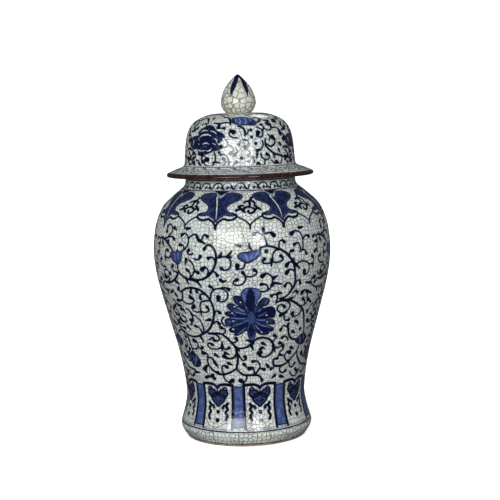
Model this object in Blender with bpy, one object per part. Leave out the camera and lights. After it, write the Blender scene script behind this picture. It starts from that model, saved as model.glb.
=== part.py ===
"""A lidded ginger jar (temple jar) in crackle-glazed stoneware, at rest, lid on.

Run it with: blender --background --python part.py

The frame is +Z up with the origin in the middle of the circle that the foot stands on, and 1 unit is 1 metre.
Every piece is turned about +Z. The jar is luted together from three thrown members: a lower section with its foot
and floor, an upper section that makes the shoulder, and a neck ring. The lid is luted from a thrown dome, a brim
ring, a locating collar that drops into the neck, and a hollow bud finial. The dome's crown is pierced under the
finial, so that the air inside the bud can leave as it is fired.
"""

import math

import bpy

MM = 0.001
SEGMENTS = 48
LUTING_GAP = 0.3 * MM

# Driving dimensions, in metres.
HEIGHT = 457.0 * MM
WALL = 6.5 * MM
DOME_WALL = 6.0 * MM

FOOT_RADIUS = 83.4 * MM
WAIST_RADIUS = 75.7 * MM
SEAM_RADIUS = 105.4 * MM
BELLY_RADIUS = 112.2 * MM
NECK_RADIUS = 69.3 * MM
WAIST_Z = 60.0 * MM
SEAM_Z = 190.0 * MM
BELLY_Z = 241.0 * MM
NECK_BASE_Z = 317.0 * MM
RIM_Z = 337.0 * MM

FLOOR_TOP_Z = 15.0 * MM
FOOT_RECESS_Z = 6.0 * MM
FOOT_RING_OUTER = 76.0 * MM
FOOT_RING_INNER = 65.0 * MM
MOUTH_RADIUS = 62.5 * MM

SEAT_Z = RIM_Z + LUTING_GAP
BRIM_RADIUS = 92.6 * MM
BRIM_LIP_Z = 330.6 * MM
BRIM_LIP_HEIGHT = 4.4 * MM
DOME_RADIUS = 69.9 * MM
DOME_BASE_Z = 346.0 * MM
CROWN_Z = 409.0 * MM
VENT_RADIUS = 2.5 * MM

COLLAR_OUTER = 59.0 * MM
COLLAR_INNER = 53.5 * MM
COLLAR_DEPTH = 22.0 * MM

FINIAL_BASE_RADIUS = 16.2 * MM
FINIAL_RADIUS = 22.1 * MM
FINIAL_BASE_Z = CROWN_Z + LUTING_GAP
FINIAL_WIDE_Z = 422.5 * MM

# Outlines as (radius, height) points from the top down. A smooth curve runs through them.
LOWER_OUTSIDE = [
    (SEAM_RADIUS, SEAM_Z),
    (94.6 * MM, 150.0 * MM),
    (82.2 * MM, 103.0 * MM),
    (WAIST_RADIUS, WAIST_Z),
    (77.9 * MM, 38.0 * MM),
    (FOOT_RADIUS - 0.3 * MM, 19.0 * MM),
    (FOOT_RADIUS - 0.6 * MM, 11.0 * MM),
    (FOOT_RING_OUTER, 0.0),
]
UPPER_OUTSIDE = [
    (73.2 * MM, NECK_BASE_Z),
    (85.6 * MM, 306.8 * MM),
    (99.4 * MM, 292.8 * MM),
    (108.6 * MM, 270.0 * MM),
    (BELLY_RADIUS, BELLY_Z),
    (110.7 * MM, 216.5 * MM),
    (SEAM_RADIUS, SEAM_Z),
]
DOME_OUTSIDE = [
    (FINIAL_BASE_RADIUS + 1.0 * MM, CROWN_Z),
    (34.0 * MM, 408.0 * MM),
    (47.0 * MM, 404.0 * MM),
    (57.8 * MM, 397.2 * MM),
    (64.6 * MM, 386.0 * MM),
    (67.8 * MM, 371.0 * MM),
    (DOME_RADIUS, DOME_BASE_Z),
]
BUD_OUTSIDE = [
    (0.0, HEIGHT),
    (2.9 * MM, 455.4 * MM),
    (12.7 * MM, 445.2 * MM),
    (19.2 * MM, 434.6 * MM),
    (FINIAL_RADIUS, FINIAL_WIDE_Z),
    (20.4 * MM, 414.7 * MM),
    (FINIAL_BASE_RADIUS, FINIAL_BASE_Z),
]


def clear_scene():
    for obj in list(bpy.data.objects):
        bpy.data.objects.remove(obj)


def material(name, colour, roughness):
    made = bpy.data.materials.new(name)
    made.use_nodes = True
    shader = made.node_tree.nodes["Principled BSDF"]
    shader.inputs["Base Color"].default_value = (*colour, 1.0)
    shader.inputs["Roughness"].default_value = roughness
    shader.inputs["Metallic"].default_value = 0.0
    return made


def smooth_curve(points, per_span):
    """Points along the Catmull-Rom curve through the given ones, both ends included."""
    padded = [mirrored_end(points[1], points[0])] + list(points)
    padded.append(mirrored_end(points[-2], points[-1]))
    curve = []
    for i in range(len(points) - 1):
        p0, p1, p2, p3 = padded[i : i + 4]
        for step in range(per_span):
            t = step / per_span
            curve.append(tuple(catmull_rom(a, b, c, d, t) for a, b, c, d in zip(p0, p1, p2, p3)))
    curve.append(tuple(points[-1]))
    return curve


def mirrored_end(inner, end):
    """The point past an open curve's end that keeps its direction there."""
    return tuple(2 * e - i for i, e in zip(inner, end))


def catmull_rom(a, b, c, d, t):
    return 0.5 * (2 * b + (c - a) * t + (2 * a - 5 * b + 4 * c - d) * t**2 + (3 * b - a - 3 * c + d) * t**3)


def inset(outline, wall):
    """The outline moved inwards by the wall's thickness, at right angles to itself."""
    moved = []
    last = len(outline) - 1
    for i, (radius, z) in enumerate(outline):
        r0, z0 = outline[max(i - 1, 0)]
        r1, z1 = outline[min(i + 1, last)]
        length = math.hypot(r1 - r0, z1 - z0)
        moved.append((radius + wall * (z1 - z0) / length, z - wall * (r1 - r0) / length))
    return moved


def turned(name, profile, surface, parent):
    """A closed profile at +X, running down its outer side, turned once round +Z."""
    mesh = bpy.data.meshes.new(name)
    count = len(profile)
    edges = [(i, (i + 1) % count) for i in range(count)]
    if profile[0][0] == 0.0:
        edges.pop()
    mesh.from_pydata([(radius, 0.0, z) for radius, z in profile], edges, [])
    obj = bpy.data.objects.new(name, mesh)
    bpy.context.scene.collection.objects.link(obj)
    screw = obj.modifiers.new("Turn", "SCREW")
    screw.axis = "Z"
    screw.angle = 2 * math.pi
    screw.steps = SEGMENTS
    screw.render_steps = SEGMENTS
    screw.use_merge_vertices = True
    screw.merge_threshold = 0.00005
    screw.use_smooth_shade = True
    mesh.materials.append(surface)
    obj.parent = parent
    return obj


def frame_empty(name):
    """An empty on the turning axis that a body's pieces hang from."""
    empty = bpy.data.objects.new(name, None)
    bpy.context.scene.collection.objects.link(empty)
    return empty


def lower_section(surface, parent):
    """Foot ring, floor and the flared wall up to the seam under the belly."""
    outside = smooth_curve(LOWER_OUTSIDE, 2)
    wall_curve = inset(outside, WALL)
    inside = [point for point in wall_curve if point[1] > FLOOR_TOP_Z + 14 * MM]
    inside[0] = (SEAM_RADIUS - WALL, SEAM_Z)
    floor_corner = [
        (inside[-1][0] - 2.0 * MM, FLOOR_TOP_Z + 6 * MM),
        (inside[-1][0] - 9.0 * MM, FLOOR_TOP_Z + 0.8 * MM),
        (0.0, FLOOR_TOP_Z),
    ]
    recess = [
        (0.0, FOOT_RECESS_Z),
        (FOOT_RING_INNER - 2.0 * MM, FOOT_RECESS_Z),
        (FOOT_RING_INNER, 0.0),
    ]
    # The profile starts and ends on the axis: under the floor, out over the foot, up the wall and back in.
    profile = list(reversed(inside + floor_corner)) + outside + list(reversed(recess))
    return turned("jar_lower_section", profile, surface, parent)


def upper_section(surface, parent):
    """The shoulder, from the neck's joint down to the seam."""
    outside = smooth_curve(UPPER_OUTSIDE, 2)
    outside[-1] = (outside[-1][0], SEAM_Z + LUTING_GAP)
    inside = inset(outside, WALL)
    inside[0] = (MOUTH_RADIUS + 2.5 * MM, NECK_BASE_Z)
    inside[1] = (inside[1][0], min(inside[1][1], NECK_BASE_Z - WALL + 1.0 * MM))
    inside[-1] = (outside[-1][0] - WALL, SEAM_Z + LUTING_GAP)
    return turned("jar_upper_section", outside + list(reversed(inside)), surface, parent)


def neck_ring(surface, parent):
    """The upright mouth ring, with a fillet where it's luted on the shoulder and a flat rim for the lid."""
    base = NECK_BASE_Z + LUTING_GAP
    outside = smooth_curve(
        [
            (NECK_RADIUS - 1.0 * MM, RIM_Z),
            (NECK_RADIUS, RIM_Z - 1.4 * MM),
            (NECK_RADIUS, 326.0 * MM),
            (70.2 * MM, 321.0 * MM),
            (72.9 * MM, base),
        ],
        2,
    )
    inside = [
        (MOUTH_RADIUS + 2.5 * MM, base),
        (MOUTH_RADIUS, base + 5.0 * MM),
        (MOUTH_RADIUS, RIM_Z - 1.0 * MM),
        (MOUTH_RADIUS + 1.0 * MM, RIM_Z),
    ]
    return turned("jar_neck_ring", outside + inside, surface, parent)


def lid_dome(surface, parent):
    """The domed cover, thrown upside down, with a vent through the crown for the air in the finial."""
    outside = smooth_curve(DOME_OUTSIDE, 2)
    hollow = [point for point in inset(outside, DOME_WALL) if point[1] > DOME_BASE_Z + 8 * MM]
    outside[-1] = (DOME_RADIUS, DOME_BASE_Z + LUTING_GAP)
    hollow.append((DOME_RADIUS - DOME_WALL, DOME_BASE_Z + LUTING_GAP))
    vent = [(VENT_RADIUS, hollow[0][1]), (VENT_RADIUS, CROWN_Z)]
    return turned("lid_dome", outside + list(reversed(hollow)) + vent, surface, parent)


def lid_brim(surface, parent):
    """The ring that the dome stands on: a sloping brim outside, a flat seat under it for the neck's rim."""
    lip_top = BRIM_LIP_Z + BRIM_LIP_HEIGHT
    profile = [
        (DOME_RADIUS, DOME_BASE_Z),
        (DOME_RADIUS + 3.5 * MM, DOME_BASE_Z - 3.4 * MM),
        (82.5 * MM, 339.2 * MM),
        (BRIM_RADIUS - 1.2 * MM, lip_top),
        (BRIM_RADIUS, lip_top - 1.5 * MM),
        (BRIM_RADIUS - 0.5 * MM, BRIM_LIP_Z + 0.8 * MM),
        (BRIM_RADIUS - 2.2 * MM, BRIM_LIP_Z),
        (82.0 * MM, 334.6 * MM),
        (74.0 * MM, SEAT_Z),
        (COLLAR_INNER, SEAT_Z),
        (COLLAR_INNER, SEAT_Z + 3.0 * MM),
        (60.0 * MM, DOME_BASE_Z),
    ]
    return turned("lid_brim", profile, surface, parent)


def locating_collar(surface, parent):
    """The plain ring under the brim that keeps the lid from sliding off the mouth."""
    top = SEAT_Z - LUTING_GAP
    foot = top - COLLAR_DEPTH
    round_off = 1.2 * MM
    profile = [
        (COLLAR_OUTER, top),
        (COLLAR_OUTER - 0.4 * MM, foot + round_off),
        (COLLAR_OUTER - 0.4 * MM - round_off, foot),
        (COLLAR_INNER + round_off, foot),
        (COLLAR_INNER, foot + round_off),
        (COLLAR_INNER, top),
    ]
    return turned("lid_locating_collar", profile, surface, parent)


def finial(surface, parent):
    """The hollow bud that the lid is lifted by, open underneath onto the crown's vent."""
    outside = smooth_curve(BUD_OUTSIDE, 2)
    hollow_wall = 6.0 * MM
    hollow = [
        (0.0, HEIGHT - 2 * hollow_wall),
        (5.0 * MM, HEIGHT - 2 * hollow_wall - 2.0 * MM),
        (12.6 * MM, 434.0 * MM),
        (FINIAL_RADIUS - hollow_wall, FINIAL_WIDE_Z),
        (14.4 * MM, 415.4 * MM),
        (10.0 * MM, FINIAL_BASE_Z),
    ]
    return turned("lid_finial", outside + list(reversed(smooth_curve(hollow, 2))), surface, parent)


def main():
    clear_scene()
    painted = material("painted_crackle_glaze", (0.62, 0.66, 0.66), 0.12)
    bare = material("bare_stoneware", (0.42, 0.27, 0.19), 0.75)
    jar = frame_empty("jar_frame")
    lid = frame_empty("lid_frame")
    lower_section(painted, jar)
    upper_section(painted, jar)
    neck_ring(painted, jar)
    lid_dome(painted, lid)
    lid_brim(painted, lid)
    locating_collar(bare, lid)
    finial(painted, lid)


main()
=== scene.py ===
"""Looks of the lidded ginger jar: cobalt scroll painting under a crackled celadon-white glaze.

The jar's front faces -Y. The painting is laid out on charts of the turned walls. A chart has an angle
in degrees round the jar, 0 at the front and growing to the viewer's right, and s, the distance in mm
down along the wall. Each brush stroke and each filled shape is a curve on a chart, and every vertex
keeps how far inside the paint it lies, in mm, so the material can draw the paint's edge, its pooling
and its bleed.
"""
import math

import bpy
import numpy as np
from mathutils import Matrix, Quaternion, Vector

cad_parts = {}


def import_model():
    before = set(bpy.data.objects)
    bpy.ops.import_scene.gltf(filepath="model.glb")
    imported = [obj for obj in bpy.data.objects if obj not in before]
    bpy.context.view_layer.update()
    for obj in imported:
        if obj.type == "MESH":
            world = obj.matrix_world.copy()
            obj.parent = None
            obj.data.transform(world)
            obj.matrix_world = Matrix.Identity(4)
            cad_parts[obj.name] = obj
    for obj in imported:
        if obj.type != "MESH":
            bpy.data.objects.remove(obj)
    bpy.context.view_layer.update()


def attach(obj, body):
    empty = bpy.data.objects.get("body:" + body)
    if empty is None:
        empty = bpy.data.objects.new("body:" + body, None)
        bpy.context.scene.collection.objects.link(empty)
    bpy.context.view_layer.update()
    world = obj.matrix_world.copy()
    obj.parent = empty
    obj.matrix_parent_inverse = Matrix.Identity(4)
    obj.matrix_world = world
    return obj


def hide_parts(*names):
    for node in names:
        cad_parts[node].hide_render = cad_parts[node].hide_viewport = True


MM = 0.001
COLUMNS = 640           # vertices round the jar
ROW_STEP = 1.0          # mm between painted rows
NO_PAINT = -9.0         # how far outside all paint an untouched vertex counts as being, mm
CELL = 4.6              # the crackle's usual cell, mm

# Outlines of the turned walls, (radius, height) in mm from the top down, as in the CAD part.
WALL_CURVE = [(73.2, 317.0), (85.6, 306.8), (99.4, 292.8), (108.6, 270.0), (112.2, 241.0), (110.7, 216.5),
              (105.4, 190.0), (94.6, 150.0), (82.2, 103.0), (75.7, 60.0), (77.9, 38.0), (83.1, 19.0),
              (82.8, 11.0), (76.0, 0.0)]
NECK_CURVE = [(68.3, 337.0), (69.3, 335.6), (69.3, 326.0), (70.2, 321.0), (72.9, 317.1)]
DOME_CURVE = [(17.2, 409.0), (34.0, 408.0), (47.0, 404.0), (57.8, 397.2), (64.6, 386.0), (67.8, 371.0),
              (69.9, 346.0)]
BRIM_CURVE = [(69.9, 346.0), (73.4, 342.6), (82.5, 339.2), (90.4, 335.6), (92.2, 334.4), (92.6, 332.9),
              (92.0, 331.3), (90.4, 330.6)]
BUD_CURVE = [(0.0, 457.0), (2.9, 455.4), (12.7, 445.2), (19.2, 434.6), (22.1, 422.5), (20.4, 414.7),
             (16.2, 409.1)]
# Floors, inner sides and the whole of the bare collar, also (radius, height) in mm.
FOOT_FLOOR = [(0, 15.0), (30, 15.0), (58, 15.3), (64, 16.2), (68.5, 19.5), (70.6, 25.0)]
FOOT_UNDERSIDE = [(75.8, 0.0), (70.0, 0.0), (65.4, 0.0), (65.0, 0.4), (63.0, 6.0), (40.0, 6.2), (0.0, 6.2)]
SHOULDER_INSIDE = [(66.0, 312.5), (65.0, 317.0)]
NECK_INSIDE = [(65.0, 317.1), (62.5, 322.3), (62.5, 329.0), (62.5, 336.0), (63.5, 337.0)]
DOME_EDGE_INSIDE = (63.9, 346.0)
DOME_VENT = [(2.5, 403.0), (2.5, 409.0)]
BRIM_INSIDE = [(82.0, 334.6), (74.0, 337.3), (64.0, 337.3), (53.5, 337.3), (53.5, 340.3), (60.0, 346.0)]
BUD_INSIDE = [(10.0, 409.1), (14.4, 415.4), (16.1, 422.5), (12.6, 434.0), (5.0, 443.0), (0.0, 445.0)]
COLLAR = [(59.0, 337.0), (58.9, 333.0), (58.7, 323.0), (58.6, 316.2), (58.2, 315.4), (57.4, 315.0),
          (54.7, 315.0), (53.9, 315.4), (53.5, 316.2), (53.5, 323.0), (53.5, 330.0), (53.5, 337.0)]
WALL = 6.5
DOME_WALL = 6.0
SHOULDER_Z = WALL_CURVE[0][1]
INSIDE_TOP_Z, INSIDE_FOOT_Z, DOME_INSIDE_Z = 308.0, 30.0, 349.0   # where the inset walls end
SEAM_Z = 190.0
FOOT_BAND_Z = 80.0

# Where the charts start: s is 0 at this height on the wall and on the neck.
WALL_ZERO_Z = 311.65
NECK_ZERO_Z = 333.0
NECK_LEAD = 25.67
FOOT_LEAD = 241.0

# The belly and the dome are painted in three equal thirds, the front one drawn over its left neighbour.
THIRDS = (-120.0, 0.0, 120.0)
FRONT_FIRST = (0.0, 120.0, -120.0)

# The belly painting, one third of the way round. Strokes are "degrees,mm" points, a semicolon between
# strokes. An o or O ends one in a small or a big dot. Before a filled shape stands its tone, 0 pale to
# 1 dark.
STEMS = """
-60,63 -56,66.5 -52,71.5 -49,76.5; 11,72 15,70.5 18.5,71.5 22,74 25,76.5 28,80.5 30.5,86 32.5,91 33.8,97
34.5,104 35.2,112 35,118 34.2,124 31.8,130.5 28.5,135 24.8,136.7; 25,138 30,138.5 34,141 38,144.5 42,149
45,153 47.5,158 49.5,165 51,173 53,182 53.5,188; -44.5,92 -44.7,99 -42.5,105 -38.5,109.5 -33,111 -27,110
-22.5,106 -19.5,100.5 -17.3,93 -16.2,86 -16.3,79 -17.5,72.5 -20,68 -22.2,68.5 -23.7,72.5 o; -44.5,102
-45.5,106 -48,111 -52,115.5 -57,118 -61,118.5; -46,139 -44.5,133 -44,127.5 -41,123.5 -37,121.5 -33,121.5
-29,123.5 -25.5,128 -23,134 -21.5,141 -20.8,149 -21.3,156 -22.5,163 -24.5,170 -27.5,176 -31.5,180.5
-36.5,184.5 -42,187 -47,186.5 -52,183 -58,177; -50,186 -49.8,193 -49,200 -48.3,206; -28,180.5 -22,179.8
-17.5,180.5 -13.5,185.5 -10.3,191.8 -7.5,197.5 -6.6,203 -7.5,209.5 -10.5,213.2 -14.5,213.6 -17,211 O;
-8.5,196 -5,199.5 -1,199.5 2,198 5.5,193.5 7.5,190 10.5,187.3 15,186.8 19,189 22,193.5 23.7,199 23,205.5
20.5,210.5 16.5,213 13,211.5 11.5,207.5 O; -6.3,203 -5.8,212 -6.3,219 -7.3,225 -7.5,227; -7.5,227 -12,231
-16.5,234 -21,235 -25,234 -28,231.5 -31,228 -33.5,222 -33,213; -7,228 -5,231.5 -2,234.8 2,235.8 7,236
11,236.5 13.5,239 14.8,243 o; 35.5,178 36,184 38,190 41.5,193.5 46,195; 51,205 49.5,210.5 45.5,217
41,222.5 36,226 31,227 26,226 24.7,221.5 25,217 28,216.5 o; 49.5,212 51.5,219 55,225.5 59,230.5 64,232.5
69,233; 4.3,67 4.5,71 6,74.5
"""
CURLS = """
-60,64 -55,61.5 -53,58 -50.5,54 -51,49 -53,45.5 -55.5,45.5 -56.5,48 o; -55,61.5 -51.5,60 -49,60.5 -48,62.5
o; -41.5,78 -38.5,74.5 -36.3,70 -35.3,65 -35.8,60 -37,56 -39,54.8 -41,57 o; -35.3,60.5 -34,58.5 -32,56
-30,55.5 -29,58.5 o; -38.8,74 -39,71 -40,69 -42,69 o; -25.5,61 -25,57.5 -23.5,55.5 -22,57.5 o; -16,84
-14,82 -11,81.8 -8.8,82.5 -7.2,87 -7.2,92 -8.8,96.8 -11.3,98 -13,96 o; -16.8,90 -17.3,85 -18.8,82 -21,83.5
o; -32,78.5 -33,80 -35.2,79.5 -36,77 -35,75 o; -31,84.5 -29.5,86 -27.5,85 -26.7,82 o; -34.5,86.5 -32.3,91
-31.2,97 -32.3,103 -34.5,108 -37,111; -32.3,102 -30.5,100 -29,101.5 o; -36,110.5 -34.8,106 -35,101
-36.8,99 o; -22.5,104.5 -21.6,100 -22.3,96 -24,94.7 -25.5,97 O; -20.5,101.5 -18.5,100 -16.8,101 -16,104 o;
-44.8,103 -47.5,102.5 -50,100 -50.5,97 -49.3,95.5 o; -50,80 -51,84.5 -54,86.5 -56.5,84 -56.8,79.5
-55.5,76.5 -54,77 o; 1.5,90.5 0.8,94.5 -1.3,96.8 -3.5,96 -3.2,93 O; -4,67.5 -1.7,68.5 o; 15.5,69 14.5,62
12.5,56.5 9.8,53.8 7.7,55.5 o; 13.8,56 16,55 18.5,54.5 20,57.5 O; 23.2,75 23.2,69 24,65.5 25.8,64.3
26.8,66.5 o; 22.5,75.5 20,77 18.8,82 18.3,88; 18.3,89.5 15.5,91.3 12.8,90.5 12,88 13.3,86 o; 18.3,89.5
21.5,90.7 24.7,89.3 25.7,86 24.3,83.5 o; 30.7,87 30.3,81.5 31,78.5 32.5,78.3 o; 33,92.5 31,91.5 29.5,92.5
28.3,95 O; 33.8,103 32,101 30,101 28.5,104 O; 40.8,78 41.3,70 41.2,64 40,58 38,55.5 35.5,54.8 33,57.5 O;
41.2,66 43,63 45,61.5 46.8,63 o; 38.8,78 38.3,72 36.5,69 34.3,71 o; 38,80.5 40,78.5 42.5,79.5 43.5,83 o;
54.8,84 54.8,77 55.3,70 55.6,64.5; 55.6,64.5 53.5,62.5 51.5,64 o; 55.6,64.5 56.8,62 58.8,63 o; 54.8,80
53,80.5 52,82 o; 34.3,97.5 36.5,94 40,92 44,93.7 46.3,98.5 46.6,104 45,108.5 42.5,108.5 42.3,105.5 O;
46,96.5 48.5,97 50.5,94.5 50.8,90.5 49.3,88 o; 63,98 59,97.5 56.2,94 56,90 58,88.5 o; 1.8,106 5,106.3
8,104 8.7,100.5 7.2,98.5 o; 1.8,106 1.5,110.5 -0.3,115 -3.2,116.8 -5.8,115 -5.8,111.5 -3.8,109.8 o;
11.5,125.5 14,126 17,123 18.3,118.5 18.8,113 18.3,108 16,104 14,103.7 12.3,106 O; 16,123.5 15.7,119.5
14,116.5 11.8,116.5 o; 31.5,130 33,125 32.3,120 30.5,117.3 28.5,117.8 27.8,120.5 o; 34.8,124 35.8,118.5
37.5,115 39,116 39.5,119 o; 22.5,140 23,135 22.3,131.5 20.5,130.3 18.8,131.8 o; 22,141.5 26,139.8 30,140.8
33,144.5 33.3,150 31,154.3 27.8,156 24.8,153.5 23.6,149 25,145.2 27.5,145.3 29,148 o; 29.5,158 30,163
31.5,166.5 34,166 o; 34.8,131 36.5,128 38,130.5 o; 49,142 48.5,136 46.5,131 44.5,129.5 42.8,132 O;
43.5,150.5 46.5,149.5 49.5,146 50,142; 47,146.5 46.5,143 44.5,141 o; 62,128 57,128 52.5,125 50,120
50.5,115.5 53,114.5 O; 44.5,156 43.5,160.5 40.5,162.7 37.5,161.5 36.8,158.8 O; 35.5,182 34,176 31.5,173.5
29.5,174 28.3,178 o; -44,127 -46,127.5 -48,125.5 -47,123.5 o; -46,139 -42.5,142.3 -39,142.7 -36,140.5
-34.8,136.5 -37.3,134 O; -50,135.5 -51.5,132.5 o; -26,128.5 -28,128.5 -29.5,131 -29.5,134 o; -23,137
-26,137 -29.5,139.5 -31,145 -31,151.5 -31,157.5; -31,151.5 -34,153 -37,151.5 -38,148 -36.3,146 O;
-31,151.5 -28,152.6 -25.2,151 -24.2,148 -25.5,145.5 o; -21.8,133 -21.2,127.5 -18.8,122.2 -15,120.8
-11.7,122.8 -10,127.5 -10.8,134 -13.8,137.7 -17,136 -16.5,132.5 O; -14,120 -11,119.5 -9.3,121.5 o;
-19.5,122 -19.8,119.5 -21.3,118.3 o; -20.8,155 -19.8,151 -18,150 -16.8,152 o; -23.5,168 -21,165 -19,164
-18.2,166.8 o; -20,180.5 -16,180.3 -14,177 -14.5,173.5 -17,172 o; -32,180 -31.5,173 -32.5,166 -35,160.5
-37.5,157.8 -39.3,159 -40,164 o; -33.7,180 -34.3,176 -35.8,173 -38.3,172.3 o; -47,204 -43.5,204 -41,201
-40.3,197 -41.5,193.5 -43.5,192.5 O; -28,181 -23.5,181.3 -20.3,183.7 -19.6,187.5 -21.5,190.5 -23.8,189.5
o; -18.5,198.5 -21.5,200.7 -25.5,201.5 -29.3,199.8 -30.5,196 -28.5,193.5 -26.5,195.3 o; -17.5,199.5
-15,201.5 -12.8,199.5 o; -9.5,192 -7,191.2 -5.3,188.8 -6.3,186.5 o; -5.5,207 -4.2,211 -2.7,215 -0.5,215.8
0.7,213.5 0.2,211.5 o; -19.3,234 -20.5,229 -20,224.5 -18,223 -16,225 o; -19.5,235 -19.3,239.5 -17,243.5
-14,244.8 -12,243 O; 0.7,236 1.2,240 -0.3,243.5 -2.5,244.8 -4,243 O; -33,213 -32,210.5 -33.5,208.5
-36.5,208 O; -32.5,214 -30,213.5 -28,215 -27,218.5 o; -32.5,224.5 -35,224.8 -37,228 O; 24.3,201 27.5,202
30.8,200.3 31.5,197.5 29,196 o; 22.5,193 24,190.5 25.3,187 23.5,185 o; 36.5,193.5 35,189.5 32.8,187.5
30.8,189 o; 45,217.5 41.5,221.3 38,221 35.8,217 35.7,212.5 37.5,209.5 40.5,211 O; 33.5,227.5 31.5,231
33,235.5 36,236.8 38,235 o; 41.5,223 42,228.5 44.5,231.5 47.5,231 48.8,228 o; 8.5,234.5 11,231 12.8,225.5
12,221 9.5,217.3 6.8,217.9 o; 7.8,235 7.7,230 6,226.5 4,227 O; 9.5,233.5 11.5,229 14,228 16.5,229.5 o
"""
LEAVES = """
-49,48.5 -46.5,51.5; -37.5,49 -34.5,48.5; -28,62 -23.5,66; -13.8,81.5 -12.6,76.5; -9,81.5 -6.3,74.8;
-9,81.5 -6.5,82.5; -37,86 -38,92.5; -57,86 -56.5,91; -38.5,109.5 -37,116.5; -33,110.5 -30,113 -27.5,119.5;
-48,115.5 -45,117.5; -36.5,127 -35.5,122.5; -31.5,126 -32,122.5; -51,140 -45.5,139; -25,162 -28.5,163.5;
-47,174 -44.3,178; -50,151.5 -48,151 -45.3,156; -14,110 -12.5,112 -10.5,110.5; 18.2,87 17.8,94.5; 13.7,50
13.8,55; 39.5,51.5 43,51; 35,95 38.3,101; 50,97 50.5,102; 55.2,70 52,71; 33.3,92 33,87.5; 19.5,109.5
22,107; 0,101 1.8,106; 18.5,118.5 20.5,116 25,118; 22.5,130.5 24,129 26,130; 32,139 36,136.5; 26.5,159
32,155.5; 47,131.5 53,135; 50,142.5 55,148; 50,121 44.5,119.5; 58.5,129 59.5,134; 41,169.5 43.5,171.5
44.5,175; 34.5,172 34.8,176; 60,154 64,146; -36,185.5 -33.8,192.5; -17.9,198 -17.7,191; -18.2,198
-18.3,203; -6.5,199 -4.3,203.5; 6.5,193 4,190 1.3,189; 5,195.5 6.8,202.5; 23.2,199 25.5,207; 39.5,182.5
42.5,185.5; 41,204.5 44,207; 23,229.5 25.5,228.5; 51,235.5 54,238.5 58,237; -38,241 -34.5,239 -30.5,239.5;
-51,236 -45,235.5; -58,159 -53,161; 12.5,202 14,200 16,201.5
"""
DOTS = """
-53,105.5 14.8,76.5 52.5,159 63.5,54 62,169 66,66 48,181.5 -29,241 -30.5,237 -25,233 13,206.5
"""
DOME_STEMS = """
-1,48.5 3,50 6.3,55 6,61; -22,31 -17,30.5 -13,34 -10.5,41 -10,46; -57,34 -50,33 -44,37 -40,44; 28,66 28,74
33,80 38,84 44,86 50,88 57,89.5 63,90; 29,72 34,75 39,72 40,67 37.5,64 O; -31,43 -24,44 -17,42.5 -12,43;
20,34 26,34 28,38 25,42 20,44
"""
DOME_CURLS = """
-2,63.5 -7,63 -10.5,59 -9,54.5 -6.5,56 O; 26,54 25.5,61 22.5,63.5 19.5,61 20.5,58 O; 24.5,68 25,73 22.5,78
18.5,79.5 o; 40,52 45,51.5 49,54 50,58 O; 22,83 23,88 27,91 31,89.5 31.5,86 29,84.5 o; 26,92 25.5,96
22,98.5 19,96.5 O; 48,86 47.5,93 44,97.5 40,95 O; -27,80 -25.5,85 -25.5,90 -28,96 -33,97.5 -38,95 -37,90
-35,89.5 O; -50,45.5 -44,43.5 -41,47; -66,55 -60,53 o; -28,93 -24,92.5 -21,93.5; 28,52 34,55 39,52 39,47
36,46 O; 45,71 47,73 o; -60,90 -54,90 -53,97; -50,90 -46,92 -44,97; -10,92 -11,96 -8,98 -4,93 o; -20,84
-16,83 -12,88 -12,93; 56,55 63,54; 53,67 60,67; 51,77 58,76.5; 20,50 26,54; 27,47 29,51 27,55
"""
DOME_SIDE = """
62,34 58,38 52,38 50,42 O; 58,38 60,44 58,48 o; 44,34 48,38 47,42 o; -58,44 -62,48 -59,53 -55,50 o; 50,62
54,60 57,63 54,66 O; -66,80 -62,83 -62,88 -66,91 o; 55,81 58,84 57,88 54,88 o; -14,66 -12,71 -15,75 -19,74
o; -12,71 -8,74 -6,79 -9,82 o; 4,66 8,67 10,72 7,75 O; 8,78 11,82 9,85 o; -4,76 -2,80 -5,84 o; 12,96 15,92
13,88 o; -17,97 -14,93 -16,89 o; 10,54 9,58 6,60; 32,60 34,64 33,68; 34,92 37,96 41,95; 60,96 64,93 66,96
o; -40,84 -43,88 -41,92 o; 30,36 33,40 38,41 o
"""
DOME_LEAVES = """
-57,83 -53,82 -51,87; -47,82 -43,84 -41,87; -57,93 -52,93; -46,94 -42,97; -24,46 -22,50; -25,50 -19,51;
18,84 17,89; 37,84 38,90; 44,79 46,83; 39,47 38,53; 60,65 62,73; 64,81 68,82; 64,88 69,86; -38,32 -37,37;
-64,76 -56,79; -42,81 -38,86; -60,86 -66,91
"""
DOME_DOTS = """
-17,51 13,54 13,63 -1,71.5 2,88 -3,93 9,92 -21,81 26.5,47 36,47 17,71 -58,37 -36,88 57,95
"""

# Half widths and radii, mm.
STEM_HALF = 1.55
CURL_HALF = 1.08
LEAF_HALF = 2.25
SMALL_DOT = 2.4
BIG_DOT = 3.1
HALO = 2.6              # how far beyond the paint its distance is still worked out, mm
PART = 8                # curve points handled at a time


def smooth_curve(points, per_span):
    """Points along the Catmull-Rom curve through the given ones, both ends included."""
    p = np.array(points, float)
    p = np.vstack([2 * p[0] - p[1], p, 2 * p[-1] - p[-2]])
    t = (np.arange(per_span) / per_span)[:, None]
    spans = []
    for a, b, c, d in zip(p[:-3], p[1:-2], p[2:-1], p[3:]):
        curved, twisted = 2 * a - 5 * b + 4 * c - d, 3 * b - a - 3 * c + d
        spans.append(0.5 * (2 * b + (c - a) * t + curved * t**2 + twisted * t**3))
    return np.vstack(spans + [p[-2:-1]])


def lengths(curve):
    """Distance along a curve at each of its points."""
    return np.concatenate([[0.0], np.cumsum(np.hypot(*np.diff(curve, axis=0).T))])


def even_rows(curve, step):
    """The curve sampled again at even distances, both ends kept."""
    along = lengths(curve)
    s = np.linspace(0.0, along[-1], max(2, int(round(along[-1] / step)) + 1))
    return np.column_stack([np.interp(s, along, curve[:, 0]), np.interp(s, along, curve[:, 1])])


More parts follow.
